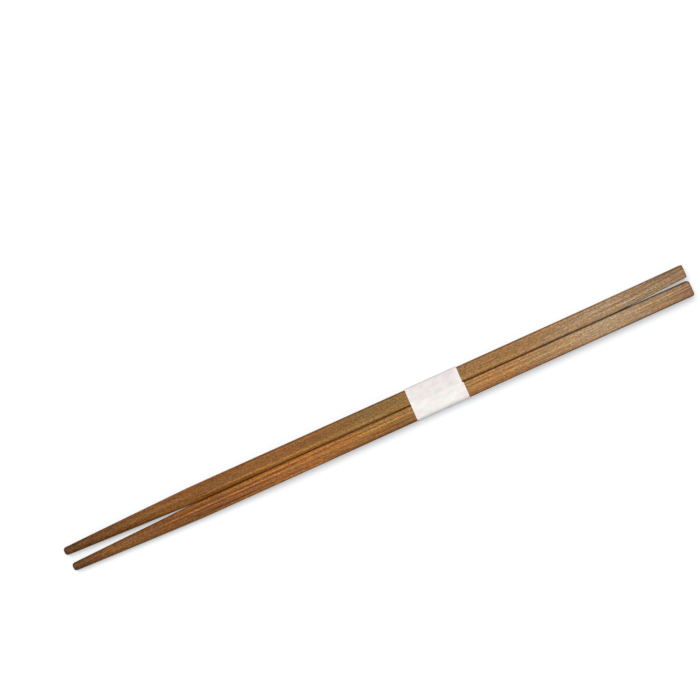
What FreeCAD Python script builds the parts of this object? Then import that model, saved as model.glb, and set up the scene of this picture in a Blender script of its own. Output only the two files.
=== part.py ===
import FreeCAD, Part
import math
import os

# A pair of square bamboo chopsticks with round tips, held side by side by a glued paper band.
# Sizes are in millimetres. X runs along the sticks, from the tips at -X to the handle ends at
# +X, the near stick lies at -Y, the far stick at +Y, and Z is up. The origin is the middle of
# the pair in X and Y, on the surface that the band rests on.

# Sticks
stick_length = 240.0  # the far stick, from its tip face to its handle face
near_short_by = 0.6  # the near stick's tip stops this much short of the far one's
bar_width = 6.02  # across the side flats, at the tip end of the square bar
bar_height = 5.95  # across the top and bottom flats
handle_width = 5.76  # across the side flats at the handle end
arris_radius = 0.9  # the four long edges of the bar
tip_radius = 1.48  # the round tip, measured at its face
tip_round = 1.0  # the worn edge round the tip face
taper_length = 94.0  # how far the sander works back from the tip
taper_swell = 0.2  # how far the taper stands proud of a straight cone, half way along
taper_passes = 5  # straight passes of the sander that make up the swelling taper
far_shave_depth = 1.25  # the planed slope on the far stick's inner flat, at the handle face
far_shave_length = 26.0  # how far that slope runs from the handle face
far_end_round = 0.3  # the edge round the far stick's handle face
near_end_round = 0.8  # the same on the near stick

# Paper band
paper = 0.12  # thickness of the paper
band_width = 19.8  # width of the strip
band_to_handle = 87.45  # from the band's inner layer to the handle faces
band_skew = 0.45  # how far the outer layer is wound past the inner one, towards the handles
lap_turn = 45.0  # degrees that the hidden inner end turns down over the near stick's arris

# Clearances
seam_gap = 0.05  # between the two bars, all along their inner flats
paper_ease = 0.04  # between the wood and the paper, above, below and round the bends
side_belly = 0.15  # how far the band bows out between its bends, beside each stick
taper_clear = 0.1  # how far the sander has left the arrises where its path ends

tip_x = -stick_length / 2
handle_x = stick_length / 2
axis_y = (bar_width + seam_gap) / 2
axis_z = paper + paper_ease + bar_height / 2
band_x = handle_x - band_to_handle - band_width


def bar_width_at(x):
    """Width of a bar at a place along the pair: it narrows evenly from tip to handle."""
    share = (x - tip_x) / stick_length
    return bar_width + (handle_width - bar_width) * share


def arc_point(centre, radius, angle):
    """Point at an angle on a circle; the centre is a (y, z) pair."""
    y = centre[0] + radius * math.cos(angle)
    z = centre[1] + radius * math.sin(angle)
    return (y, z)


def section_arc(centre, radius, start, end):
    """Edge along a circle in the plane across the sticks."""
    angles = (start, (start + end) / 2, end)
    points = [FreeCAD.Vector(0, *arc_point(centre, radius, angle)) for angle in angles]
    return Part.Arc(*points).toShape()


def section_line(start, end):
    """Straight edge in the plane across the sticks."""
    return Part.makeLine(FreeCAD.Vector(0, *start), FreeCAD.Vector(0, *end))


def planed_bar(start_x, shave_depth, shave_length):
    """The bar from the tip plane to the handle face, about the axis of its round tip.

    The inner flat, at -Y, runs along X as far as the planed slope. The outer one closes in.
    """
    inner_y = -bar_width / 2
    outer = [(start_x, inner_y + bar_width_at(start_x)), (handle_x, inner_y + handle_width)]
    inner = [(start_x, inner_y)]
    if shave_depth > 0:
        inner.append((handle_x - shave_length, inner_y))
    inner.append((handle_x, inner_y + shave_depth))
    plan = outer + inner[::-1] + outer[:1]
    low_z = -bar_height / 2
    outline = Part.makePolygon([FreeCAD.Vector(x, y, low_z) for x, y in plan])
    return Part.Face(outline).extrude(FreeCAD.Vector(0, 0, bar_height))


def round_arrises(bar):
    """Round the long edges of the bar, which are the ones that reach along X."""
    edges = [edge for edge in bar.Edges if edge.BoundBox.XLength > bar_height]
    return bar.makeFillet(arris_radius, edges)


def round_handle_face(bar, radius):
    """Round the edge of the cut face at the handle end."""
    edges = [edge for edge in bar.Edges if edge.BoundBox.XMin > handle_x - radius / 2]
    return bar.makeFillet(radius, edges)


def taper_point(start, end, number):
    """Point on the swelling outline after so many passes: a parabola above the straight cone."""
    share = number / taper_passes
    swell = 4 * taper_swell * share * (1 - share)
    return start + (end - start) * share + FreeCAD.Vector(0, 0, swell)


def sanded_envelope(start_x):
    """The solid of revolution that the sander leaves: a blunt tip and a swelling taper."""
    across = max(bar_width / 2, handle_width - bar_width / 2) - arris_radius
    up = bar_height / 2 - arris_radius
    clear_radius = math.hypot(across, up) + arris_radius + taper_clear
    round_start = FreeCAD.Vector(start_x, 0, tip_radius - tip_round)
    diagonal = tip_round * math.sqrt(0.5)
    round_middle = FreeCAD.Vector(start_x + tip_round - diagonal, 0, round_start.z + diagonal)
    taper_start = FreeCAD.Vector(start_x + tip_round, 0, tip_radius)
    taper_end = FreeCAD.Vector(start_x + taper_length, 0, clear_radius)
    taper = [taper_point(taper_start, taper_end, n) for n in range(taper_passes + 1)]
    past_handle = handle_x + tip_round
    tip_centre = FreeCAD.Vector(start_x, 0, 0)
    back_edge = FreeCAD.Vector(past_handle, 0, clear_radius)
    back_centre = FreeCAD.Vector(past_handle, 0, 0)
    edges = [Part.makeLine(tip_centre, round_start)]
    edges.append(Part.Arc(round_start, round_middle, taper_start).toShape())
    edges += [Part.makeLine(start, end) for start, end in zip(taper, taper[1:])]
    edges.append(Part.makeLine(taper_end, back_edge))
    edges.append(Part.makeLine(back_edge, back_centre))
    edges.append(Part.makeLine(back_centre, tip_centre))
    outline = Part.Face(Part.Wire(edges))
    return outline.revolve(tip_centre, FreeCAD.Vector(1, 0, 0), 360)


def chopstick(start_x, side, shave_depth, shave_length, end_round):
    """One stick: the bar cut by the sander's envelope, laid on its side of the seam."""
    bar = planed_bar(start_x, shave_depth, shave_length)
    bar = round_handle_face(round_arrises(bar), end_round)
    stick = bar.common(sanded_envelope(start_x))
    if side < 0:
        stick = stick.mirror(FreeCAD.Vector(0, 0, 0), FreeCAD.Vector(0, 1, 0))
    stick.translate(FreeCAD.Vector(0, side * axis_y, axis_z))
    return stick


def wrap_outline(side, ceiling, lap_y):
    """Section of the paper round one stick, from the underside to its end on top.

    side is +1 for the far stick and -1 for the near one, ceiling is the height of the paper's
    lower face on top, and lap_y is where it ends, measured from the seam towards that side.
    """
    bend = arris_radius + paper_ease
    bend_y = wrap_bend_y()
    low = (bend_y, paper + bend)
    high = (bend_y, ceiling - bend)
    half_rise = (high[1] - low[1]) / 2
    # The side is an arc that leaves both bends smoothly and stands side_belly beyond them.
    reach = (half_rise**2 + side_belly**2) / (2 * side_belly)
    middle = (bend_y + side_belly - reach, (high[1] + low[1]) / 2)
    lean = math.atan2(half_rise, reach - side_belly)
    quarter = math.pi / 2

    def wall(thickness):
        """The wall's three arcs at one face of the paper, upwards."""
        arcs = [(low, bend, -quarter, -lean)]
        arcs += [(middle, bend + reach, -lean, lean)]
        arcs += [(high, bend, lean, quarter)]
        return [section_arc(c, r + thickness, start, end) for c, r, start, end in arcs]

    top = ceiling + paper
    edges = wall(0)
    edges.append(section_line((bend_y, ceiling), (lap_y, ceiling)))
    edges.append(section_line((lap_y, ceiling), (lap_y, top)))
    edges.append(section_line((lap_y, top), (bend_y, top)))
    edges += wall(paper)
    edges.append(section_line((bend_y, 0), (bend_y, paper)))
    outline = Part.Wire(Part.sortEdges(edges)[0])
    if side < 0:
        outline = outline.mirror(FreeCAD.Vector(0, 0, 0), FreeCAD.Vector(0, 1, 0))
    return Part.Face(outline)


def wrap_bend_y():
    """Distance from the seam to the centre of the band's bends, beside the sticks' arrises."""
    held_width = max(bar_width_at(band_x), bar_width_at(band_x + band_width))
    return seam_gap / 2 + held_width - arris_radius


def tucked_end(ceiling):
    """Section of the inner layer's hidden end, turned down over the near stick's arris."""
    bend = arris_radius + paper_ease
    centre = (-wrap_bend_y(), ceiling - bend)
    start = math.pi / 2
    end = start + math.radians(lap_turn)
    edges = [section_arc(centre, radius, start, end) for radius in (bend, bend + paper)]
    for angle in (start, end):
        low = arc_point(centre, bend, angle)
        high = arc_point(centre, bend + paper, angle)
        edges.append(section_line(low, high))
    return Part.Face(Part.Wire(Part.sortEdges(edges)[0]))


def paper_band():
    """The strip: its inner layer round the far stick, its outer one lapped over the near stick."""
    bend_y = wrap_bend_y()
    ceiling = axis_z + bar_height / 2 + paper_ease
    width = FreeCAD.Vector(band_width, 0, 0)
    inner = wrap_outline(1, ceiling, -bend_y).extrude(width)
    tuck = tucked_end(ceiling).extrude(width)
    outer = wrap_outline(-1, ceiling + paper, 0).extrude(width)
    outer.translate(FreeCAD.Vector(band_skew, 0, 0))
    # The underside is cut on the slant, because it takes up the whole skew of the strip.
    corners = [(0, bend_y), (band_width, bend_y)]
    corners += [(band_skew + band_width, -bend_y), (band_skew, -bend_y), (0, bend_y)]
    outline = Part.makePolygon([FreeCAD.Vector(x, y, 0) for x, y in corners])
    under = Part.Face(outline).extrude(FreeCAD.Vector(0, 0, paper))
    band = inner.fuse([tuck, outer, under]).removeSplitter()
    band.translate(FreeCAD.Vector(band_x, 0, 0))
    return band


def one_solid(shape):
    """The single solid that a boolean leaves inside its compound."""
    return shape.Solids[0]


nodes = {
    "chopstick_far": chopstick(tip_x, 1, far_shave_depth, far_shave_length, far_end_round),
    "chopstick_near": chopstick(tip_x + near_short_by, -1, 0, 0, near_end_round),
    "paper_band": paper_band(),
}
os.makedirs("parts", exist_ok=True)
for name, shape in nodes.items():
    one_solid(shape).exportStep(f"parts/{name}.step")
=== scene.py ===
import logging
import math
from dataclasses import dataclass, field
from enum import Enum
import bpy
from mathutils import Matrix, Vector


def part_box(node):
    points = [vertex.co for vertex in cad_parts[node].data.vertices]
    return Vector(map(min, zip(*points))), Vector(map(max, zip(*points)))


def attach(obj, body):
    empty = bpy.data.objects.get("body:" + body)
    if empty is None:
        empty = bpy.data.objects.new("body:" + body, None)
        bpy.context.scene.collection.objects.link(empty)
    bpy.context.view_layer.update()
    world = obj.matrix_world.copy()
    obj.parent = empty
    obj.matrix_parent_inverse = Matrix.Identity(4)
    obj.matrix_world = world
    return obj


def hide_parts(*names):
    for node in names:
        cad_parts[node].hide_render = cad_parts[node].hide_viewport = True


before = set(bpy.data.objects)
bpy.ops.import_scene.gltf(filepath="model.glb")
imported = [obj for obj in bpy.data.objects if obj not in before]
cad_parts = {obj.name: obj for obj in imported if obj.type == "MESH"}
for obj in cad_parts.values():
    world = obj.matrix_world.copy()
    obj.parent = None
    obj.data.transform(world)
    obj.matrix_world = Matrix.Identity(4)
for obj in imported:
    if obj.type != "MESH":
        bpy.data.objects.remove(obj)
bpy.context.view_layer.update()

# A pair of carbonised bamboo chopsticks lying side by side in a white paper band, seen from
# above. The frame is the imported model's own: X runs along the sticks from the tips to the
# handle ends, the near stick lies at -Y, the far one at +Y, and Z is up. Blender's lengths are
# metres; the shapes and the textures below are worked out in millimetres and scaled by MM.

from types import MappingProxyType
from typing import Iterable, Mapping, Sequence

import bpy
import numpy as np

MM = 0.001
BODY = "root"

log = logging.getLogger("chopsticks")

Colour = tuple[float, float, float]
Point = tuple[float, float]
Triple = tuple[float, float, float]
Stops = tuple[Point, ...]
Tones = Sequence[tuple[float, Colour]]
Face = tuple[int, ...]
Array = np.ndarray
Material = bpy.types.Material
Object = bpy.types.Object
Socket = bpy.types.NodeSocket
Value = float | Socket

NO_INPUTS: Mapping[str, object] = MappingProxyType({})
WHITE: Colour = (1.0, 1.0, 1.0)
RELIEF_DEPTH = 0.03 * MM  # how deep the fibres' relief is in the wood and in the paper

# The Mix node's inputs and output for colours.
MIX_FIRST, MIX_SECOND, MIX_RESULT = 6, 7, 2


def linear(red: int, green: int, blue: int) -> Colour:
    """Turn a display colour into the linear one that a shader takes.

    Args:
        red: Red from 0 to 255.
        green: Green from 0 to 255.
        blue: Blue from 0 to 255.

    Returns:
        The linear red, green and blue, each from 0 to 1.
    """
    def channel(level: int) -> float:
        """Return one channel by the sRGB curve."""
        share = level / 255
        return share / 12.92 if share <= 0.04045 else ((share + 0.055) / 1.055) ** 2.4

    return channel(red), channel(green), channel(blue)


class NodeDesk:
    """The node tree of a material or of the world, with short ways to add and join nodes."""

    def __init__(self, owner: Material | bpy.types.World) -> None:
        """Empty the node tree of a material or of the world."""
        owner.use_nodes = True
        self.owner = owner
        self.tree = owner.node_tree
        self.tree.nodes.clear()

    @classmethod
    def for_material(cls, name: str) -> "NodeDesk":
        """Return the desk of a new material."""
        return cls(bpy.data.materials.new(name))

    def node(
        self, kind: str, *values: object, inputs: Mapping[str, object] = NO_INPUTS, **settings: str
    ) -> bpy.types.Node:
        """Add a node.

        Args:
            kind: The node's type, without the word ShaderNode.
            values: What goes into its first inputs, in order.
            inputs: What goes into inputs with these names.
            settings: The node's own properties.

        Returns:
            The new node.
        """
        made = self.tree.nodes.new("ShaderNode" + kind)
        for name, value in settings.items():
            setattr(made, name, value)
        for socket, value in zip(made.inputs, values):
            self.feed(socket, value)
        for name, value in inputs.items():
            self.feed(made.inputs[name], value)
        return made

    def feed(self, socket: Socket, value: object) -> None:
        """Link a socket into an input, or set the input to a number, a vector or a colour."""
        if isinstance(value, bpy.types.NodeSocket):
            self.tree.links.new(value, socket)
        elif isinstance(value, tuple) and len(value) == 3 and socket.type == "RGBA":
            socket.default_value = (*value, 1.0)
        else:
            socket.default_value = value

    def math(self, operation: str, *values: Value) -> Socket:
        """Return what an operation makes of the numbers or sockets."""
        return self.node("Math", *values, operation=operation).outputs[0]

    def product(self, first: Value, *others: Value) -> Socket:
        """Return numbers multiplied together."""
        for value in others:
            first = self.math("MULTIPLY", first, value)
        return first

    def split(self, vector: Socket) -> tuple[Socket, ...]:
        """Return a vector's x, y and z."""
        return tuple(self.node("SeparateXYZ", vector).outputs)

    def joined(self, *values: Value) -> Socket:
        """Return a vector of the given x, y and z."""
        return self.node("CombineXYZ", *values).outputs[0]

    def mapped(self, vector: Socket, scale: Triple, shift: Triple = (0, 0, 0)) -> Socket:
        """Return a vector that is scaled and then shifted."""
        inputs = {"Location": shift, "Scale": scale}
        return self.node("Mapping", vector, inputs=inputs).outputs[0]

    def place(self, shift: Triple = (0, 0, 0)) -> Socket:
        """Return the shaded point's place in millimetres, shifted."""
        point = self.node("TexCoord").outputs["Object"]
        return self.mapped(point, (1 / MM, 1 / MM, 1 / MM), shift)

    def smooth(self, value: Value, low: Value, high: Value) -> Socket:
        """Return 0 below low and 1 above high, turning smoothly between; low may be the larger.

        Args:
            value: The number or socket.
            low: Where the result is 0.
            high: Where the result is 1.

        Returns:
            The output socket.
        """
        limits = (low, high, 0.0, 1.0)
        return self.node("MapRange", value, *limits, interpolation_type="SMOOTHSTEP").outputs[0]

    def mix(self, share: Value, first: object, second: object, blend: str = "MIX") -> Socket:
        """Return a mix of two colours.

        Args:
            share: How much of the second colour.
            first: The first colour or socket.
            second: The second colour or socket.
            blend: The blend mode.

        Returns:
            The colour socket.
        """
        made = self.node("Mix", share, data_type="RGBA", blend_type=blend)
        self.feed(made.inputs[MIX_FIRST], first)
        self.feed(made.inputs[MIX_SECOND], second)
        return made.outputs[MIX_RESULT]

    def tinted(self, colour: Socket, share: Value, tint: object) -> Socket:
        """Return a colour multiplied by a tint or a number, to the given share."""
        return self.mix(share, colour, tint, "MULTIPLY")

    def ramp(self, value: Value, stops: Tones) -> Socket:
        """Return a colour that runs through stops of places, from 0 to 1, and colours."""
        made = self.node("ValToRGB", value)
        made.color_ramp.interpolation = "EASE"
        elements = made.color_ramp.elements
        while len(elements) < len(stops):
            elements.new(1.0)
        for element, (place, colour) in zip(elements, stops):
            element.position = place
            element.color = (*colour, 1.0)
        return made.outputs[0]

    def level(self, value: Value, stops: Stops) -> Socket:
        """Return a number that runs through stops of places and levels."""
        return self.ramp(value, [(place, (share, share, share)) for place, share in stops])

    def stretched(self, place: Socket, grain: "Grain") -> Socket:
        """Return noise drawn out along the sticks.

        Args:
            place: The place in millimetres.
            grain: The size of the noise and where it starts.

        Returns:
            The noise's height, mostly from 0.25 to 0.75.
        """
        inputs = {"Scale": 1.0, "Detail": grain.detail, "Roughness": grain.roughness}
        moved = self.mapped(place, grain.scale(), grain.start)
        return self.node("TexNoise", moved, inputs=inputs).outputs[0]

    def surface(self, shader: Socket, output: str = "OutputMaterial") -> bpy.types.ID:
        """Join a shader to the output and return the material or world."""
        self.node(output, shader)
        return self.owner

    def coat(self, coat: "Coat", colour: Socket, noise: Socket, height: Socket) -> bpy.types.ID:
        """Return the material of a rough surface with fine relief.

        Args:
            coat: How rough and how deep the surface is.
            colour: The base colour.
            noise: The noise that makes the surface rougher.
            height: The height of the relief.

        Returns:
            The material.
        """
        relief = {"Strength": coat.relief, "Distance": RELIEF_DEPTH, "Height": height}
        inputs = {
            "Base Color": colour,
            "Roughness": self.math("MULTIPLY_ADD", noise, coat.rougher, coat.smoothest),
            "Specular IOR Level": coat.sheen,
            "Normal": self.node("Bump", inputs=relief).outputs[0],
        }
        return self.surface(self.node("BsdfPrincipled", inputs=inputs).outputs[0])


@dataclass(frozen=True)
class Coat:
    """How rough a surface is at its smoothest, what noise adds to that, its sheen and relief."""

    smoothest: float
    rougher: float
    sheen: float
    relief: float


@dataclass(frozen=True)
class Grain:
    """Noise drawn out along the sticks, with its sizes in millimetres."""

    length: float
    across: float
    up: float
    start: Triple
    detail: float = 2.0
    roughness: float = 0.5

    def scale(self) -> Triple:
        """Return the scale that gives a feature these sizes."""
        return 1 / self.length, 1 / self.across, 1 / self.up


class CulmFace(Enum):
    """Which way the culm's hard outer skin lay in the stick, so what its top flat shows."""

    SKIN_TO_THE_SIDE = "a radial cut: long lines of strands, crowded towards the skin"
    SKIN_UPWARDS = "a tangential cut: faint dashes where strands graze the flat"


@dataclass(frozen=True)
class Streak:
    """One long band along a stick: pale where its share is above 0, dark where below. Most are
    lines of strands or pith; a few are painted light, noted where they are listed.

    The offset is measured in millimetres from the stick's axis towards the far side.
    """

    offset: float
    half_width: float
    start: float
    end: float
    share: float
    fade: float = 9.0
    softness: float = 0.45

    def strength(self, desk: NodeDesk, x: Socket, y: Socket) -> Socket:
        """Return how much a point lies in the streak.

        Args:
            desk: The material's node tree.
            x: The place along the pair, in millimetres.
            y: The place across the stick, in millimetres.

        Returns:
            The share, from 0 to 1.
        """
        aside = desk.math("ABSOLUTE", desk.math("SUBTRACT", y, self.offset))
        soft, half = self.softness * self.half_width, self.fade / 2
        inside = desk.smooth(aside, self.half_width + soft, self.half_width - soft)
        begun = desk.smooth(x, self.start - half, self.start + half)
        unended = desk.smooth(x, self.end + half, self.end - half)
        return desk.product(inside, desk.product(begun, unended), abs(self.share))


@dataclass(frozen=True)
class Strands:
    """How the culm shows in a stick: ground tones, and its strands' sizes in millimetres.

    The rims, the seam's painted shade, lines and tones are stops by the share of the length from
    the tip. The tones' paler, greyer stops at the handle end are partly painted sheen.
    """

    face: CulmFace
    tones: Tones
    pitch: Point
    run: float
    wander: Point
    cap: float
    vessel: float
    pale: Grain
    pale_share: float
    fibre: Grain
    fibre_share: float
    dash: Grain
    dash_share: float
    lines: Grain
    lines_share: Stops
    streaks: tuple[Streak, ...]
    outer_rim: Stops
    seam_shade_share: Stops
    seam_shade_reach: Stops
    sweep_start: float
    sweep: float


@dataclass(frozen=True)
class BambooFinish:
    """Carbonised bamboo: brown ground, lengthwise strands, darker tips and edges.

    Sizes are in millimetres along, across and up. A span holds the levels between which a
    pattern goes from nothing to full strength.
    """

    name: str
    strands: Strands
    centre: Point
    side: int
    half_width: float
    tip_x: float
    length: float
    seed: float
    coat: Coat = Coat(smoothest=0.42, rougher=0.3, sheen=0.18, relief=0.5)
    cap_tint: Colour = (0.54, 0.36, 0.29)
    vessel_tint: Colour = (0.42, 0.33, 0.28)
    pale_tint: Colour = (1.62, 1.78, 1.70)
    warm_tint: Colour = (1.11, 0.98, 0.78)
    olive_tint: Colour = (0.94, 0.98, 0.82)
    rim_tint: Colour = (0.52, 0.41, 0.31)
    # The colour of the painted shade in the groove between the two sticks.
    seam_painted_shade: Colour = (0.31, 0.29, 0.28)
    warm_size: Triple = (7.0, 0.9, 0.9)
    olive_size: Triple = (5.0, 1.0, 1.0)
    speck_size: Triple = (0.75, 0.42, 0.42)
    break_size: Triple = (7.0, 0.6, 3.0)
    wander_width: float = 9.0
    speck_share: Stops = ((0.0, 0.72), (0.2, 0.56), (1.0, 0.5))
    strand_disorder: float = 0.85
    skin_gain: float = 0.5
    strand_span: Point = (0.3, 1.1)
    cap_span: Point = (0.52, 0.16)
    vessel_span: Point = (0.2, 0.08)
    break_span: Point = (0.15, 0.55)
    pale_span: Point = (0.52, 0.72)
    cloud_span: Point = (0.4, 0.6)
    crisp_span: Point = (0.34, 0.66)
    outer_span: Point = (0.2, 0.7)
    end_span: Point = (0.35, 0.8)
    seam_shade_core: float = 0.08

    def material(self) -> Material:
        """Build the node material.

        Returns:
            The material.
        """
        desk, strands = NodeDesk.for_material(self.name), self.strands
        place, wandering, along = self._place(desk)
        fibre = desk.stretched(place, strands.fibre)
        cap, vessel = self._bundles(desk, wandering)
        dark, pale = self._streaked(desk, place)
        colour = self._clouded(desk, place, along)
        colour = desk.tinted(colour, pale, self.pale_tint)
        colour = desk.tinted(colour, desk.math("MAXIMUM", cap, dark), self.cap_tint)
        colour = desk.tinted(colour, vessel, self.vessel_tint)
        colour = self._shaded(desk, colour, fibre, strands.fibre_share)
        dash = desk.stretched(place, strands.dash)
        colour = self._shaded(desk, colour, dash, strands.dash_share)
        lines = desk.stretched(place, strands.lines)
        colour = self._shaded(desk, colour, lines, desk.level(along, strands.lines_share))
        colour = desk.tinted(colour, self._rims(desk, along), self.rim_tint)
        # Painted shade: the groove between the sticks is darkened, as their sides shade each other
        # there.
        colour = desk.tinted(colour, self._seam_painted_shade(desk, along), self.seam_painted_shade)
        return desk.coat(self.coat, colour, fibre, desk.math("SUBTRACT", fibre, vessel))

    def _place(self, desk: NodeDesk) -> tuple[Socket, Socket, Socket]:
        """Work out where a point lies in the stick.

        Returns:
            The place in millimetres about the stick's axis, bent as the grain bends towards the
            handle end, the same place moved as the grain wanders, and the share of the length
            from the tip.
        """
        x, y, z = desk.split(desk.place((0, -self.centre[0], -self.centre[1])))
        along = desk.math("DIVIDE", desk.math("SUBTRACT", x, self.tip_x), self.length)
        past = desk.math("MAXIMUM", desk.math("SUBTRACT", x, self.strands.sweep_start), 0.0)
        y = desk.math("SUBTRACT", y, desk.product(past, past, self.strands.sweep))
        swept = desk.joined(x, y, z)
        # The noises all start at different places, so that no two patterns run together.
        starts = ((self.seed, 0, 0), (0, self.seed, 4))
        moved = [x]
        for at, size, start in zip((y, z), self.strands.wander, starts):
            grain = Grain(self.strands.run, self.wander_width, self.wander_width, start, 1)
            centred = desk.math("SUBTRACT", desk.stretched(swept, grain), 0.5)
            moved.append(desk.math("MULTIPLY_ADD", centred, size, at))
        return swept, desk.joined(*moved), along

    def _towards_skin(self, desk: NodeDesk, place: Socket) -> Socket:
        """Return 0 on the culm's pith side of the stick and 1 on its skin side."""
        _, across, outwards = desk.split(place)
        if self.strands.face is CulmFace.SKIN_TO_THE_SIDE:
            outwards = desk.product(across, float(self.side))
        return desk.smooth(outwards, -self.half_width, self.half_width)

    def _bundles(self, desk: NodeDesk, place: Socket) -> tuple[Socket, Socket]:
        """Return how much a point lies in a strand's fibre cap, and in its vessels."""
        across, up = self.strands.pitch
        scaled = desk.mapped(place, (1, 1 / across, 1 / up), (0, self.seed, self.seed))
        _, y, z = desk.split(scaled)
        inputs = {"Vector": desk.joined(y, z), "Scale": 1.0, "Randomness": self.strand_disorder}
        cells = desk.node("TexVoronoi", inputs=inputs, voronoi_dimensions="2D")
        chance = desk.node("SeparateColor", cells.outputs["Color"]).outputs[0]
        skin = self._towards_skin(desk, place)
        strength = desk.math("MULTIPLY_ADD", skin, self.skin_gain, chance)
        strength = desk.smooth(strength, *self.strand_span)
        away = cells.outputs["Distance"]
        cap = desk.product(desk.smooth(away, *self.cap_span), strength, self.strands.cap)
        vessel = desk.smooth(away, *self.vessel_span)
        return cap, desk.product(vessel, strength, self.strands.vessel)

    def _streaked(self, desk: NodeDesk, place: Socket) -> tuple[Socket, Socket]:
        """Return how much a point lies in dark streaks, and in pale pith and pale streaks, some
        painted light.
        """
        x, y, _ = desk.split(place)
        uneven = desk.stretched(place, Grain(*self.break_size, (self.seed, 6, 6), 2, 0.6))
        broken = desk.smooth(uneven, *self.break_span)
        found: list[Socket] = []
        for sign in (-1, 1):
            total: Value = 0.0
            for streak in self.strands.streaks:
                if streak.share * sign > 0:
                    total = desk.math("MAXIMUM", total, streak.strength(desk, x, y))
            found.append(desk.product(total, broken))
        pith = desk.smooth(desk.stretched(place, self.strands.pale), *self.pale_span)
        pith = desk.product(pith, self.strands.pale_share)
        return found[0], desk.math("MAXIMUM", pith, found[1])

    def _clouded(self, desk: NodeDesk, place: Socket, along: Socket) -> Socket:
        """Return the ground colour with soft clouds of a redder and an olive brown, and specks."""
        colour = desk.ramp(along, self.strands.tones)
        warm = desk.stretched(place, Grain(*self.warm_size, (5, self.seed, 1)))
        olive = desk.stretched(place, Grain(*self.olive_size, (8, 2, self.seed)))
        specks = desk.stretched(place, Grain(*self.speck_size, (9, 4, self.seed), 1))
        colour = desk.tinted(colour, desk.smooth(warm, *self.cloud_span), self.warm_tint)
        colour = desk.tinted(colour, desk.smooth(olive, *self.cloud_span), self.olive_tint)
        return self._shaded(desk, colour, specks, desk.level(along, self.speck_share))

    def _shaded(self, desk: NodeDesk, colour: Socket, noise: Socket, share: Value) -> Socket:
        """Return a colour made darker and lighter by noise, with crisp edges between the two."""
        crisp = desk.math("SUBTRACT", desk.smooth(noise, *self.crisp_span), 0.5)
        return desk.tinted(colour, 1.0, desk.math("MULTIPLY_ADD", crisp, share, 1.0))

    def _rims(self, desk: NodeDesk, along: Socket) -> Socket:
        """Return how much a point turns outwards or endwards, where its colour is darker."""
        endways, aside, _ = desk.split(desk.node("NewGeometry").outputs["Normal"])
        outwards = desk.smooth(desk.product(aside, float(self.side)), *self.outer_span)
        outer = desk.product(outwards, desk.level(along, self.strands.outer_rim))
        end = desk.smooth(desk.math("ABSOLUTE", endways), *self.end_span)
        return desk.math("MAXIMUM", outer, end)

    def _seam_painted_shade(self, desk: NodeDesk, along: Socket) -> Socket:
        """Return how much painted shade darkens a point near the seam, in the groove between the
        sticks.
        """
        aside = desk.math("ABSOLUTE", desk.split(desk.place())[1])
        reach = desk.level(along, self.strands.seam_shade_reach)
        near = desk.smooth(aside, reach, self.seam_shade_core)
        return desk.product(near, desk.level(along, self.strands.seam_shade_share))


@dataclass(frozen=True)
class PaperFinish:
    """Plain white wrapping paper, uncoated, with the wood showing through its single layer.

    Sizes are in millimetres, and each shade holds what noise adds and the darkest level.
    """

    name: str
    start_x: float
    end_x: float
    coat: Coat = Coat(smoothest=0.75, rougher=0.15, sheen=0.2, relief=0.35)
    fibres: Grain = Grain(0.5, 0.35, 0.35, (1, 2, 3), 4, 0.65)
    clouds: Grain = Grain(3, 2, 2, (4, 5, 6))
    blush: Grain = Grain(4.5, 3, 3, (7, 1, 2))
    white: Colour = linear(247, 242, 238)
    backed: Colour = linear(240, 233, 230)
    pink: Colour = (1.0, 0.955, 0.97)
    cream: Colour = (0.975, 1.0, 0.955)
    # Painted shade on the paper's bends over the sticks' edges, most on the near side.
    bend_shade_tint: Colour = (0.84, 0.825, 0.84)
    pink_span: Point = (0.42, 0.62)
    cream_span: Point = (0.5, 0.3)
    bend_shade_span: Point = (4.1, 5.8)
    far_bend_shade_share: float = 0.4
    lap_span: Point = (-0.1, 0.15)
    margins: Point = (2.5, 1.25)
    cloud_shade: Point = (0.3, 0.85)
    fibre_shade: Point = (0.14, 0.93)

    def material(self) -> Material:
        """Build the node material.

        Returns:
            The material.
        """
        desk = NodeDesk.for_material(self.name)
        place = desk.place()
        fibres = desk.stretched(place, self.fibres)
        clouds = desk.stretched(place, self.clouds)
        blush = desk.stretched(place, self.blush)
        x, y, _ = desk.split(place)
        colour = desk.mix(self._backing(desk, x, y), self.white, self.backed)
        colour = desk.tinted(colour, desk.smooth(blush, *self.pink_span), self.pink)
        colour = desk.tinted(colour, desk.smooth(blush, *self.cream_span), self.cream)
        # Painted shade: the paper is darkened where it turns down beside the sticks, away from the
        # top light.
        colour = desk.tinted(colour, self._bend_shade(desk, y), self.bend_shade_tint)
        cloud_shade = desk.math("MULTIPLY_ADD", clouds, *self.cloud_shade)
        fibre_shade = desk.math("MULTIPLY_ADD", fibres, *self.fibre_shade)
        colour = desk.tinted(colour, 1.0, desk.product(cloud_shade, fibre_shade))
        return desk.coat(self.coat, colour, fibres, fibres)

    def _backing(self, desk: NodeDesk, x: Socket, y: Socket) -> Socket:
        """Return where one layer of paper lies right on the wood."""
        left = desk.smooth(x, self.start_x, self.start_x + self.margins[0])
        right = desk.smooth(x, self.end_x, self.end_x - self.margins[1])
        return desk.product(desk.smooth(y, *self.lap_span), desk.product(left, right))

    def _bend_shade(self, desk: NodeDesk, y: Socket) -> Socket:
        """Return how much painted shade a point takes on the bends beside the sticks, less on the
        far side.
        """
        start, end = self.bend_shade_span
        near = desk.smooth(y, -start, -end)
        far = desk.product(desk.smooth(y, start, end), self.far_bend_shade_share)
        return desk.math("MAXIMUM", near, far)


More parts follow.
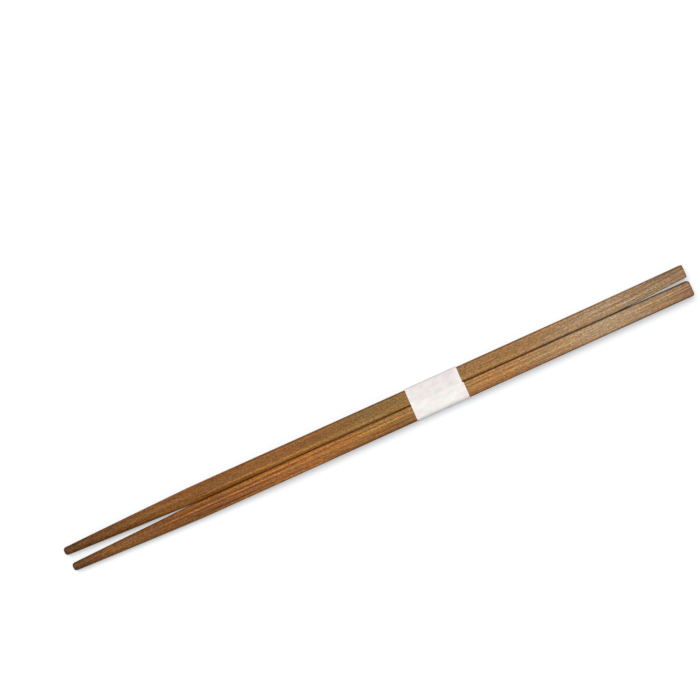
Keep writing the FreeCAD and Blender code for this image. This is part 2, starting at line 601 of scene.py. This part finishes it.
def smooth_noise(rng: np.random.Generator, places: Array, spacing: float) -> Array:
    """Return smooth random heights along a line.

    Args:
        rng: The seeded source of random numbers.
        places: Where the heights are wanted, rising.
        spacing: The distance between the random knots.

    Returns:
        Heights from -1 to 1, one for each place.
    """
    count = int((places[-1] - places[0]) / spacing) + 3
    knots = rng.uniform(-1, 1, count)
    at = (places - places[0]) / spacing
    low = np.floor(at).astype(int)
    share = at - low
    ease = share * share * (3 - 2 * share)
    return knots[low] * (1 - ease) + knots[low + 1] * ease


def closed_sides(ring_count: int, point_count: int) -> list[Face]:
    """Return the faces that join closed rings of points.

    Args:
        ring_count: How many rings there are.
        point_count: How many points a ring has.

    Returns:
        The four point numbers of each face.
    """
    first = np.arange(ring_count - 1)[:, None] * point_count
    step = np.arange(point_count)[None, :]
    low, high = first + step, first + (step + 1) % point_count
    quads = np.stack([low, high, high + point_count, low + point_count], axis=-1)
    return [tuple(face) for face in quads.reshape(-1, 4).tolist()]


def smooth_object(name: str, points: Array, faces: list[Face]) -> Object:
    """Make a smooth mesh and link it to the scene.

    Args:
        name: The object's name.
        points: Rows of x, y and z, in millimetres.
        faces: The point numbers of each face.

    Returns:
        The new object.
    """
    mesh = bpy.data.meshes.new(name)
    mesh.from_pydata((points * MM).tolist(), [], faces)
    mesh.validate()
    mesh.polygons.foreach_set("use_smooth", [True] * len(mesh.polygons))
    mesh.update()
    made = bpy.data.objects.new(name, mesh)
    bpy.context.scene.collection.objects.link(made)
    return made


def object_from_rings(name: str, rings: Array) -> Object:
    """Make a closed mesh from rings of points, with both ends filled.

    Args:
        name: The object's name.
        rings: An array of rings by points by x, y and z, in millimetres.

    Returns:
        The new object, linked to the scene.
    """
    ring_count, point_count, _ = rings.shape
    faces = closed_sides(ring_count, point_count)
    points = np.concatenate([rings.reshape(-1, 3), [rings[0].mean(0), rings[-1].mean(0)]])
    start_middle, end_middle = len(points) - 2, len(points) - 1
    last = (ring_count - 1) * point_count
    for index in range(point_count):
        after = (index + 1) % point_count
        faces.append((start_middle, after, index))
        faces.append((end_middle, last + index, last + after))
    return smooth_object(name, points, faces)


@dataclass
class Piece:
    """One real piece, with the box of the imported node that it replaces, in millimetres."""

    name: str
    node: str
    slot: str
    low: Array = field(init=False)
    high: Array = field(init=False)

    def __post_init__(self) -> None:
        """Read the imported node's box."""
        self.low, self.high = (np.array(corner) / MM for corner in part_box(self.node))

    def dress(self, made: Object, material: Material) -> Object:
        """Dress the piece's mesh and set it in the frame.

        Args:
            made: The object with the mesh.
            material: What it is made of.

        Returns:
            The same object.
        """
        made.data.materials.append(material)
        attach(made, BODY)
        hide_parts(self.node)
        return made


@dataclass
class Chopstick(Piece):
    """One stick: a planed square bar, sanded round and blunt at the tip. Sizes in millimetres."""

    side: int
    seed: int
    strands: Strands
    end_round: float
    shave_depth: float = 0.0
    shave_length: float = 26.0
    bar_width: float = 6.02
    handle_width: float = 5.76
    pair_length: float = 240.0
    arris_radius: float = 0.9
    tip_radius: float = 1.48
    tip_round: float = 1.0
    taper_length: float = 94.0
    taper_swell: float = 0.2
    taper_clear: float = 0.1
    seam_gap: float = 0.05
    seam_close: float = 0.02
    scallop_softness: float = 0.06
    tip_bow: float = 0.0
    bow_length: float = 60.0
    bow_power: float = 1.5
    outer_bow: Stops = ((0.0, 0.0),)
    fullness: float = 0.12
    fullness_middle: float = 48.0
    fullness_reach: float = 15.0
    relief: float = 0.022
    relief_runs: Point = (26.0, 7.0)
    relief_shares: Point = (0.35, 0.25)
    relief_middle: float = 0.5
    seam_facing: float = -0.5
    waviness: float = 0.02
    wave_run: float = 18.0
    flat_points: int = 20
    bend_points: int = 8
    station: float = 0.55
    end_steps: int = 6
    end_shrink: Triple = (0.35, 0.7, 0.93)

    @property
    def length(self) -> float:
        """Return the stick's length."""
        return float(self.high[0] - self.low[0])

    @property
    def height(self) -> float:
        """Return the bar's height."""
        return float(self.high[2] - self.low[2])

    @property
    def axis(self) -> Point:
        """Return the y and z of the stick's axis."""
        y = self.side * (self.bar_width + self.seam_gap) / 2
        return y, float(self.high[2] + self.low[2]) / 2

    def build(self) -> Object:
        """Build the stick's mesh, dress it and set it in the frame.

        Returns:
            The stick's object.
        """
        rings = self._rings(self._stations(), np.random.default_rng(self.seed))
        log.info("%s: %d rings of %d points", self.name, *rings.shape[:2])
        return self.dress(object_from_rings(self.name, rings), self._finish().material())

    def _finish(self) -> BambooFinish:
        """Return the bamboo finish that fits this stick."""
        return BambooFinish(
            name=self.slot,
            strands=self.strands,
            centre=self.axis,
            side=self.side,
            half_width=self.bar_width / 2,
            tip_x=float(self.low[0]),
            length=self.length,
            seed=self.seed,
        )

    def _stations(self) -> Array:
        """Return distances from the tip face, close together where an end is rounded."""
        turns = np.linspace(0, math.pi / 2, self.end_steps)
        tip = self.tip_round * (1 - np.cos(turns))
        handle = self.length - self.end_round * (1 - np.sin(turns))
        count = int(self.length / self.station)
        middle = np.linspace(tip[-1], handle[0], count)[1:-1]
        return np.concatenate([tip, middle, handle])

    def _bar_width_at(self, along: Array) -> Array:
        """Return the planed bar's width at distances from the tip face."""
        share = (along + self.low[0] + self.pair_length / 2) / self.pair_length
        return self.bar_width + (self.handle_width - self.bar_width) * share

    def _envelope(self, along: Array) -> Array:
        """Return the radius that the sander leaves at distances from the tip face."""
        across = max(self.bar_width / 2, self.handle_width - self.bar_width / 2) - self.arris_radius
        up = self.height / 2 - self.arris_radius
        clear = math.hypot(across, up) + self.arris_radius + self.taper_clear
        share = np.clip((along - self.tip_round) / (self.taper_length - self.tip_round), 0, 1)
        radius = self.tip_radius + (clear - self.tip_radius) * share
        radius += 4 * self.taper_swell * share * (1 - share)
        short = np.clip(self.tip_round - along, 0, None)
        rounding = self.tip_round - np.sqrt(np.clip(self.tip_round**2 - short**2, 0, None))
        return radius - rounding

    def _inner_fullness(self, along: Array) -> Array:
        """Return how much fuller the taper is on the seam side, where the sticks first meet."""
        away = (along - self.fullness_middle) / self.fullness_reach
        return self.fullness * np.clip(1 - away**2, 0, None) ** 2

    def _outline(self) -> tuple[Array, Array]:
        """Return the bar's outline as corner signs or shares of a flat, and arris directions.

        Returns:
            The share of the half flat in y and z for each point, and the unit direction of the
            arris there.
        """
        corners = np.array([(1, 1), (-1, 1), (-1, -1), (1, -1), (1, 1)])
        bends = np.arange(self.bend_points) / self.bend_points
        run = np.arange(self.flat_points)[:, None] / self.flat_points
        shares, quarters = [], []
        for quarter, (corner, following) in enumerate(zip(corners, corners[1:])):
            shares += [np.tile(corner, (self.bend_points, 1)), corner + (following - corner) * run]
            quarters += [quarter + bends, np.full(self.flat_points, quarter + 1)]
        turns = np.concatenate(quarters) * math.pi / 2
        return np.concatenate(shares), np.stack([np.cos(turns), np.sin(turns)], axis=1)

    def _relief(self, along: Array, directions: Array, rng: np.random.Generator) -> Array:
        """Return how far the fibres' grooves lie under the planed surface.

        Args:
            along: Distances from the tip face.
            directions: The directions of a ring's points.
            rng: The seeded source of random numbers.

        Returns:
            Depths by ring and point.
        """
        depth = self.relief_middle
        for run, share in zip(self.relief_runs, self.relief_shares):
            grooves = [smooth_noise(rng, along, run) for _ in directions]
            depth = depth + share * np.stack(grooves, axis=1)
        seam_side = directions[:, 0] < self.seam_facing
        return self.relief * np.where(seam_side, 0.0, np.clip(depth, 0, 1))

    def _rings(self, along: Array, rng: np.random.Generator) -> Array:
        """Return the stick's rings of points.

        Args:
            along: Distances from the tip face.
            rng: The seeded source of random numbers.

        Returns:
            An array of rings by points by x, y and z, in millimetres.
        """
        shares, directions = self._outline()
        x = along + self.low[0]
        slope = np.clip((along - (self.length - self.shave_length)) / self.shave_length, 0, 1)
        wave = self.waviness * (1 + smooth_noise(rng, along, self.wave_run)) / 2
        flat = -self.bar_width / 2
        bowed = np.interp(along, *zip(*self.outer_bow))
        outer = flat + self._bar_width_at(along) - wave + bowed
        inner = flat - self.seam_close + self.shave_depth * slope
        past = np.clip(along - (self.length - self.end_round), 0, self.end_round)
        inset = self.end_round - np.sqrt(self.end_round**2 - past**2)
        half_y = (outer - inner) / 2 - self.arris_radius
        half_z = self.height / 2 - self.arris_radius
        bend = self.arris_radius - inset
        y = shares[None, :, 0] * half_y[:, None] + directions[None, :, 0] * bend[:, None]
        z = shares[None, :, 1] * half_z + directions[None, :, 1] * bend[:, None]
        y = y + (outer + inner)[:, None] / 2
        reach = np.hypot(y, z)
        seam_side = np.clip(-y / reach, 0, 1) ** 2
        envelope = self._envelope(along)[:, None] + self._inner_fullness(along)[:, None] * seam_side
        # Where bar and envelope meet, the edge between them is worn to a soft one.
        soft = self.scallop_softness
        apart = np.clip(1 - np.abs(reach - envelope) / soft, 0, 1)
        wanted = np.minimum(reach, envelope) - soft * apart**2 / 4
        scale = (wanted - self._relief(along, directions, rng)) / reach
        bow = self.tip_bow * np.clip(1 - along / self.bow_length, 0, None) ** self.bow_power
        y = self.side * (y * scale + bow[:, None]) + self.axis[0]
        z = z * scale + self.axis[1]
        rings = np.stack([np.broadcast_to(x[:, None], y.shape), y, z], axis=-1)
        return self._with_end_faces(rings if self.side > 0 else rings[:, ::-1])

    def _with_end_faces(self, rings: Array) -> Array:
        """Return the rings with smaller ones inside both end faces, so the faces stay flat."""
        ends = []
        for ring in (rings[0], rings[-1]):
            middle = ring.mean(0)
            ends.append([middle + (ring - middle) * share for share in self.end_shrink])
        return np.concatenate([ends[0], rings, ends[1][::-1]])


@dataclass
class PaperBand(Piece):
    """The paper strip, wound once round both sticks and lapped over the near one.

    Sizes are in millimetres, and angles in degrees.
    """

    name: str = "paper_band_wrap"
    node: str = "paper_band"
    slot: str = "band_paper"
    paper: float = 0.12
    skew: float = 0.45
    arris_radius: float = 0.9
    ease: float = 0.04
    belly: float = 0.15
    lap_turn: float = 45.0
    lap_steps: int = 7
    arc_steps: int = 6
    step: float = 0.22
    across_steps: int = 72
    crease: float = 50.0

    @property
    def width(self) -> float:
        """Return the width of the strip."""
        return float(self.high[0] - self.low[0]) - self.skew

    @property
    def ceiling(self) -> float:
        """Return the height of the inner layer's lower face on top."""
        return float(self.high[2]) - 2 * self.paper

    @property
    def bend(self) -> float:
        """Return the radius of the bends, at the paper's inner face."""
        return self.arris_radius + self.ease

    @property
    def bend_y(self) -> float:
        """Return how far the bends' centres lie from the seam."""
        return float(self.high[1]) - self.paper - self.belly - self.bend

    def build(self) -> Object:
        """Build the strip's mesh, dress it and set it in the frame.

        Returns:
            The band's object.
        """
        inner, outer, turned = self._faces()
        start = float(self.low[0])
        finish = PaperFinish(name=self.slot, start_x=start, end_x=start + self.width)
        log.info("%s: strip %.1f mm wide and %.1f mm long", self.name, self.width, turned[-1])
        return self.dress(self._mesh(inner, outer, turned), finish.material())

    def _side(self, ceiling: float) -> tuple[list[Point], list[Point]]:
        """Return the paper's inner face up one side, with the way out of the paper.

        Args:
            ceiling: The height of the paper's lower face on top.

        Returns:
            Points as distance from the seam and height, upwards, and unit directions.
        """
        bend, quarter = self.bend, math.pi / 2
        low = (self.bend_y, self.paper + bend)
        high = (self.bend_y, ceiling - bend)
        half_rise = (high[1] - low[1]) / 2
        reach = (half_rise**2 + self.belly**2) / (2 * self.belly)
        middle = (self.bend_y + self.belly - reach, (high[1] + low[1]) / 2)
        lean = math.atan2(half_rise, reach - self.belly)
        arcs = [(low, bend, -quarter, -lean), (middle, bend + reach, -lean, lean)]
        arcs.append((high, bend, lean, quarter))
        points: list[Point] = []
        ways: list[Point] = []
        for centre, radius, start, end in arcs:
            count = max(self.arc_steps, int(radius * (end - start) / self.step))
            for number in range(count):
                angle = start + (end - start) * (number + 0.5) / count
                way = (math.cos(angle), math.sin(angle))
                points.append((centre[0] + radius * way[0], centre[1] + radius * way[1]))
                ways.append(way)
        return points, ways

    def _straight(self, start: float, end: float, height: float, way: float) -> list[list[Point]]:
        """Return the points of a flat run and their ways out of the paper, ends included."""
        count = max(2, int(abs(end - start) / self.step) + 1)
        points = [(y, height) for y in np.linspace(start, end, count)]
        return [points, [(0.0, way)] * count]

    def _tuck(self) -> list[list[Point]]:
        """Return the hidden end, which hugs the wood so that the outer layer clears it."""
        points, ways = [], []
        for turn in np.radians(np.linspace(self.lap_turn, 0, self.lap_steps + 1)[:-1]):
            radius = self.bend - self.paper * (1 - math.cos(turn))
            way = (-math.sin(turn), math.cos(turn))
            height = self.ceiling - self.bend + radius * way[1]
            points.append((-self.bend_y + radius * way[0], height))
            ways.append(way)
        return [points, ways]

    def _faces(self) -> tuple[Array, Array, Array]:
        """Return the strip's inner and outer faces in section and the length wound so far.

        Returns:
            Points of the inner face, points of the outer face, each as y and z, and the length
            of strip up to each.
        """
        top = self.ceiling + self.paper
        runs = [
            self._tuck(),
            self._straight(-self.bend_y, self.bend_y, self.ceiling, 1.0),
            [run[::-1] for run in self._side(self.ceiling)],
            self._straight(self.bend_y, -self.bend_y, self.paper, -1.0),
            [[(-y, z) for y, z in run] for run in self._side(top)],
            self._straight(-self.bend_y, 0.0, top, 1.0),
        ]
        inner, ways = (np.concatenate(parts) for parts in zip(*runs))
        steps = np.linalg.norm(np.diff(inner, axis=0), axis=1)
        return inner, inner + ways * self.paper, np.concatenate([[0.0], np.cumsum(steps)])

    def _mesh(self, inner: Array, outer: Array, turned: Array) -> Object:
        """Sweep the section across the width of the strip, slanted by the skew of the winding.

        Args:
            inner: The inner face in section.
            outer: The outer face in section.
            turned: The length wound up to each point.

        Returns:
            The strip's object.
        """
        section = np.concatenate([inner, outer[::-1]])
        wound = np.concatenate([turned, turned[::-1]]) / turned[-1]
        across = np.linspace(0, self.width, self.across_steps + 1)[:, None]
        x = self.low[0] + across + wound * self.skew
        y, z = (np.broadcast_to(column, x.shape) for column in section.T)
        faces = closed_sides(*x.shape)
        last = x.size - len(section)
        for index in range(len(inner) - 1):
            facing = len(section) - 1 - index
            faces.append((index, facing, facing - 1, index + 1))
            faces.append((last + index, last + index + 1, last + facing - 1, last + facing))
        made = smooth_object(self.name, np.stack([x, y, z], axis=-1).reshape(-1, 3), faces)
        made.data.set_sharp_from_angle(angle=math.radians(self.crease))
        return made


@dataclass
class Studio:
    """A white table, one broad lamp above the far side, and soft light from all round."""

    half_floor: float = 3000.0
    sky_level: float = 0.4
    floor_white: Colour = (0.696, 0.71, 0.722)
    floor_lift: float = 0.36
    key_strength: float = 1.971
    key_elevation: float = 73.0
    key_spread: float = 30.0
    key_azimuth: float = -20.0
    sky_colour: Colour = (0.96, 0.98, 1.0)

    def build(self) -> None:
        """Build the floor, the world and the lamp."""
        self._floor()
        self._world()
        self._key()
        bpy.context.scene.view_settings.view_transform = "Standard"
        log.info("studio: floor, world and key lamp")

    def _floor(self) -> None:
        """Lay the white table under the band."""
        corners = np.array([(-1, -1, 0), (1, -1, 0), (1, 1, 0), (-1, 1, 0)]) * self.half_floor
        floor = smooth_object("table_top", corners, [(0, 1, 2, 3)])
        desk = NodeDesk.for_material("table_white")
        seen = desk.node("LightPath").outputs["Is Camera Ray"]
        lift = desk.node("Emission", WHITE, desk.product(seen, self.floor_lift))
        diffuse = desk.node("BsdfDiffuse", self.floor_white)
        both = desk.node("AddShader", diffuse.outputs[0], lift.outputs[0])
        floor.data.materials.append(desk.surface(both.outputs[0]))

    def _world(self) -> None:
        """Set even light from all round, which the camera sees as white."""
        desk = NodeDesk(bpy.data.worlds.new("soft_light"))
        seen = desk.node("LightPath").outputs["Is Camera Ray"]
        colour = desk.mix(seen, self.sky_colour, WHITE)
        level = desk.math("MAXIMUM", seen, self.sky_level)
        light = desk.node("Background", colour, level)
        bpy.context.scene.world = desk.surface(light.outputs[0], "OutputWorld")

    def _key(self) -> None:
        """Hang the broad lamp above the far side."""
        lamp = bpy.data.lights.new("key", "SUN")
        lamp.energy = self.key_strength
        lamp.angle = math.radians(self.key_spread)
        holder = bpy.data.objects.new("key", lamp)
        tilt = math.radians(90 - self.key_elevation)
        holder.rotation_euler = (-tilt, 0, -math.radians(self.key_azimuth))
        bpy.context.scene.collection.objects.link(holder)


@dataclass
class TopCamera:
    """The photograph's camera: a long lens that looks straight down, turned about its axis."""

    height: float = 0.9
    turn: float = 24.334
    pixels_per_mm: float = 2.8315
    image_width: int = 700
    origin_pixel: Point = (377.9, 420.33)
    sensor: float = 36.0
    plane_z: float = 3.1
    clip: Point = (0.01, 20.0)

    def build(self) -> None:
        """Build the camera and make it the scene's own."""
        data = bpy.data.cameras.new("camera")
        data.sensor_fit = "HORIZONTAL"
        data.sensor_width = self.sensor
        view_width = self.image_width / self.pixels_per_mm * MM
        data.lens = self.sensor * self.height / view_width
        data.clip_start, data.clip_end = self.clip
        made = bpy.data.objects.new("camera", data)
        turn = math.radians(self.turn)
        middle = self.image_width / 2
        right = (middle - self.origin_pixel[0]) / self.pixels_per_mm * MM
        up = (self.origin_pixel[1] - middle) / self.pixels_per_mm * MM
        x = right * math.cos(turn) + up * math.sin(turn)
        y = up * math.cos(turn) - right * math.sin(turn)
        made.location = (x, y, self.plane_z * MM + self.height)
        made.rotation_euler = (0, 0, -turn)
        bpy.context.scene.collection.objects.link(made)
        bpy.context.scene.camera = made
        log.info("camera: lens %.1f mm, %.2f m above the pair", data.lens, self.height)


FAR_STRANDS = Strands(
    face=CulmFace.SKIN_UPWARDS,
    # Ground colours along the stick; the paler, greyer stops at the handle end are partly painted
    # sheen.
    tones=(
        (0.0, linear(98, 60, 22)),
        (0.06, linear(113, 71, 32)),
        (0.2, linear(137, 88, 41)),
        (0.38, linear(144, 95, 44)),
        (0.5, linear(142, 107, 59)),
        (0.7, linear(159, 119, 76)),
        (0.87, linear(165, 136, 111)),
        (0.96, linear(153, 124, 100)),
        (1.0, linear(149, 117, 92)),
    ),
    pitch=(0.62, 0.8),
    run=26,
    wander=(0.8, 1.6),
    cap=0.3,
    vessel=0.25,
    pale=Grain(12, 0.34, 0.7, (3, 2, 6), 2, 0.6),
    pale_share=0.3,
    fibre=Grain(40, 0.36, 0.5, (7, 3, 7), 2, 0.6),
    fibre_share=0.15,
    dash=Grain(2.2, 0.42, 0.42, (2, 5, 1), 1),
    dash_share=0.25,
    lines=Grain(30, 0.42, 0.6, (4, 7, 3), 1),
    lines_share=((0.0, 0.1), (0.5, 0.15), (0.76, 0.15), (0.85, 0.6), (1.0, 0.75)),
    streaks=(
        # Painted light: the next pale band brightens the far stick's near side at the tip, which
        # faces away from the lamp.
        Streak(-1.7, 0.6, -104, -72, 0.3),
        Streak(-2.5, 0.35, -80, -48, 0.3),
        Streak(-1.38, 0.27, -68, -44, 0.8),
        Streak(-1.65, 0.3, -48, -20, 0.75),
        Streak(-1.9, 0.3, -24, 2, 0.5),
        Streak(0.95, 0.4, -74, 10, -0.2),
        Streak(-1.5, 0.6, 34, 80, 0.15),
        Streak(-0.15, 0.2, 78, 114, 0.7),
        Streak(-1.2, 0.2, 82, 122, 0.35),
        Streak(-1.75, 0.22, 90, 122, 0.5),
        Streak(-3.4, 0.4, 100, 124, 0.55),
        Streak(-2.6, 0.22, 98, 122, 0.5),
        Streak(-0.65, 0.25, 80, 122, -0.45),
        Streak(-1.5, 0.16, 96, 122, -0.45),
        Streak(-2.2, 0.2, 98, 122, -0.45),
    ),
    outer_rim=(
        (0.0, 0.4), (0.12, 0.15), (0.2, 0.08), (0.27, 0.3),
        (0.4, 0.7), (0.55, 0.85), (0.85, 0.75), (0.95, 0.5),
    ),
    # How strongly painted shade darkens the groove beside the seam, and how far from the seam it
    # reaches.
    seam_shade_share=((0.0, 0.0), (0.19, 0.3), (0.25, 0.9), (0.9, 0.9), (0.96, 0.1)),
    seam_shade_reach=((0.0, 0.4), (0.45, 0.45), (0.65, 0.75)),
    sweep_start=60.0,
    sweep=0.00058,
)
NEAR_STRANDS = Strands(
    face=CulmFace.SKIN_TO_THE_SIDE,
    # Ground colours along the stick; the paler, greyer stops at the handle end are partly painted
    # sheen.
    tones=(
        (0.0, linear(99, 64, 30)),
        (0.06, linear(129, 84, 42)),
        (0.2, linear(135, 86, 40)),
        (0.38, linear(157, 99, 46)),
        (0.5, linear(151, 106, 55)),
        (0.7, linear(169, 123, 77)),
        (0.87, linear(178, 151, 126)),
        (0.96, linear(164, 132, 104)),
        (1.0, linear(150, 117, 93)),
    ),
    pitch=(0.95, 0.8),
    run=60,
    wander=(1.2, 1.2),
    cap=0.3,
    vessel=0.3,
    pale=Grain(60, 0.4, 1.2, (1, 4, 2), 2, 0.6),
    pale_share=0.25,
    fibre=Grain(70, 0.36, 0.5, (3, 8, 5), 2, 0.6),
    fibre_share=0.2,
    dash=Grain(2.6, 0.42, 0.42, (6, 1, 4), 1),
    dash_share=0.25,
    lines=Grain(60, 0.42, 0.6, (2, 9, 8), 1),
    lines_share=((0.0, 0.2), (0.5, 0.4), (0.72, 0.45), (0.8, 0.15), (0.9, 0.2), (1.0, 0.45)),
    streaks=(
        # Painted highlight on a paler line of the wood: the next two pale bands brighten the near
        # stick's edge beside the seam, which faces the lamp.
        Streak(2.25, 0.42, -80, -18, 0.75),
        Streak(1.95, 0.4, -22, 18, 0.55),
        Streak(1.15, 0.34, -84, -30, -0.75),
        Streak(1.45, 0.2, -28, 14, -0.45),
        Streak(0.55, 0.24, -84, -34, 1.0),
        Streak(0.35, 0.3, -38, -2, 0.5),
        Streak(0.03, 0.25, -88, -42, -0.95),
        Streak(-1.6, 0.28, -72, -30, -0.85),
        Streak(-1.75, 0.28, -32, -10, -0.6),
        Streak(-2.28, 0.25, -74, -18, 0.5),
        Streak(0.85, 0.36, -8, 14, 0.75),
        Streak(-0.92, 0.32, -6, 14, -0.7),
        Streak(-2.0, 0.95, -22, 122, -0.35),
        Streak(1.75, 0.35, 34, 92, 0.35),
        Streak(0.1, 0.27, 34, 78, 0.5),
        Streak(-0.35, 0.2, 60, 98, -0.3),
        Streak(-0.3, 0.2, 94, 122, -0.35),
        Streak(0.38, 0.23, 98, 122, 0.75),
        Streak(-0.72, 0.2, 98, 122, 0.45),
        Streak(-2.85, 0.4, 98, 122, -0.3),
        Streak(1.05, 0.3, 96, 122, -0.25),
        Streak(1.6, 0.9, 64, 98, -0.15),
        Streak(-0.95, 0.6, 66, 98, 0.22),
        Streak(-1.4, 0.33, 96, 122, -0.4),
        Streak(-2.15, 0.35, 104, 122, 0.2),
    ),
    outer_rim=((0.0, 0.15), (0.15, 0.08), (0.3, 0.0), (0.4, 0.4), (0.5, 0.7), (0.75, 0.85)),
    # How strongly painted shade darkens the groove beside the seam, and how far from the seam it
    # reaches.
    seam_shade_share=(
        (0.0, 0.0), (0.19, 0.0), (0.25, 0.3), (0.5, 0.3), (0.65, 0.75), (0.88, 0.9), (1.0, 0.95),
    ),
    seam_shade_reach=((0.0, 0.35), (0.5, 0.35), (0.65, 0.6)),
    sweep_start=50.0,
    sweep=0.00025,
)
# How far the far stick's outer flat stands out, in millimetres, by the distance from its tip.
FAR_OUTER_BOW = (
    (60, 0), (85, -0.08), (110, -0.1), (190, -0.08), (210, 0), (225, 0.1), (240, 0.19),
)


def main() -> None:
    """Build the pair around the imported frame, then the studio and the camera."""
    logging.basicConfig(level=logging.INFO, format="%(name)s: %(message)s")
    sticks = [
        Chopstick(
            name="far_stick",
            node="chopstick_far",
            slot="bamboo_far",
            side=1,
            seed=11,
            end_round=0.3,
            shave_depth=1.25,
            tip_bow=0.18,
            outer_bow=FAR_OUTER_BOW,
            strands=FAR_STRANDS,
        ),
        Chopstick(
            name="near_stick",
            node="chopstick_near",
            slot="bamboo_near",
            side=-1,
            seed=29,
            end_round=0.8,
            strands=NEAR_STRANDS,
        ),
    ]
    for stick in sticks:
        stick.build()
    PaperBand().build()
    Studio().build()
    TopCamera().build()


if __name__ == "__main__":
    main()
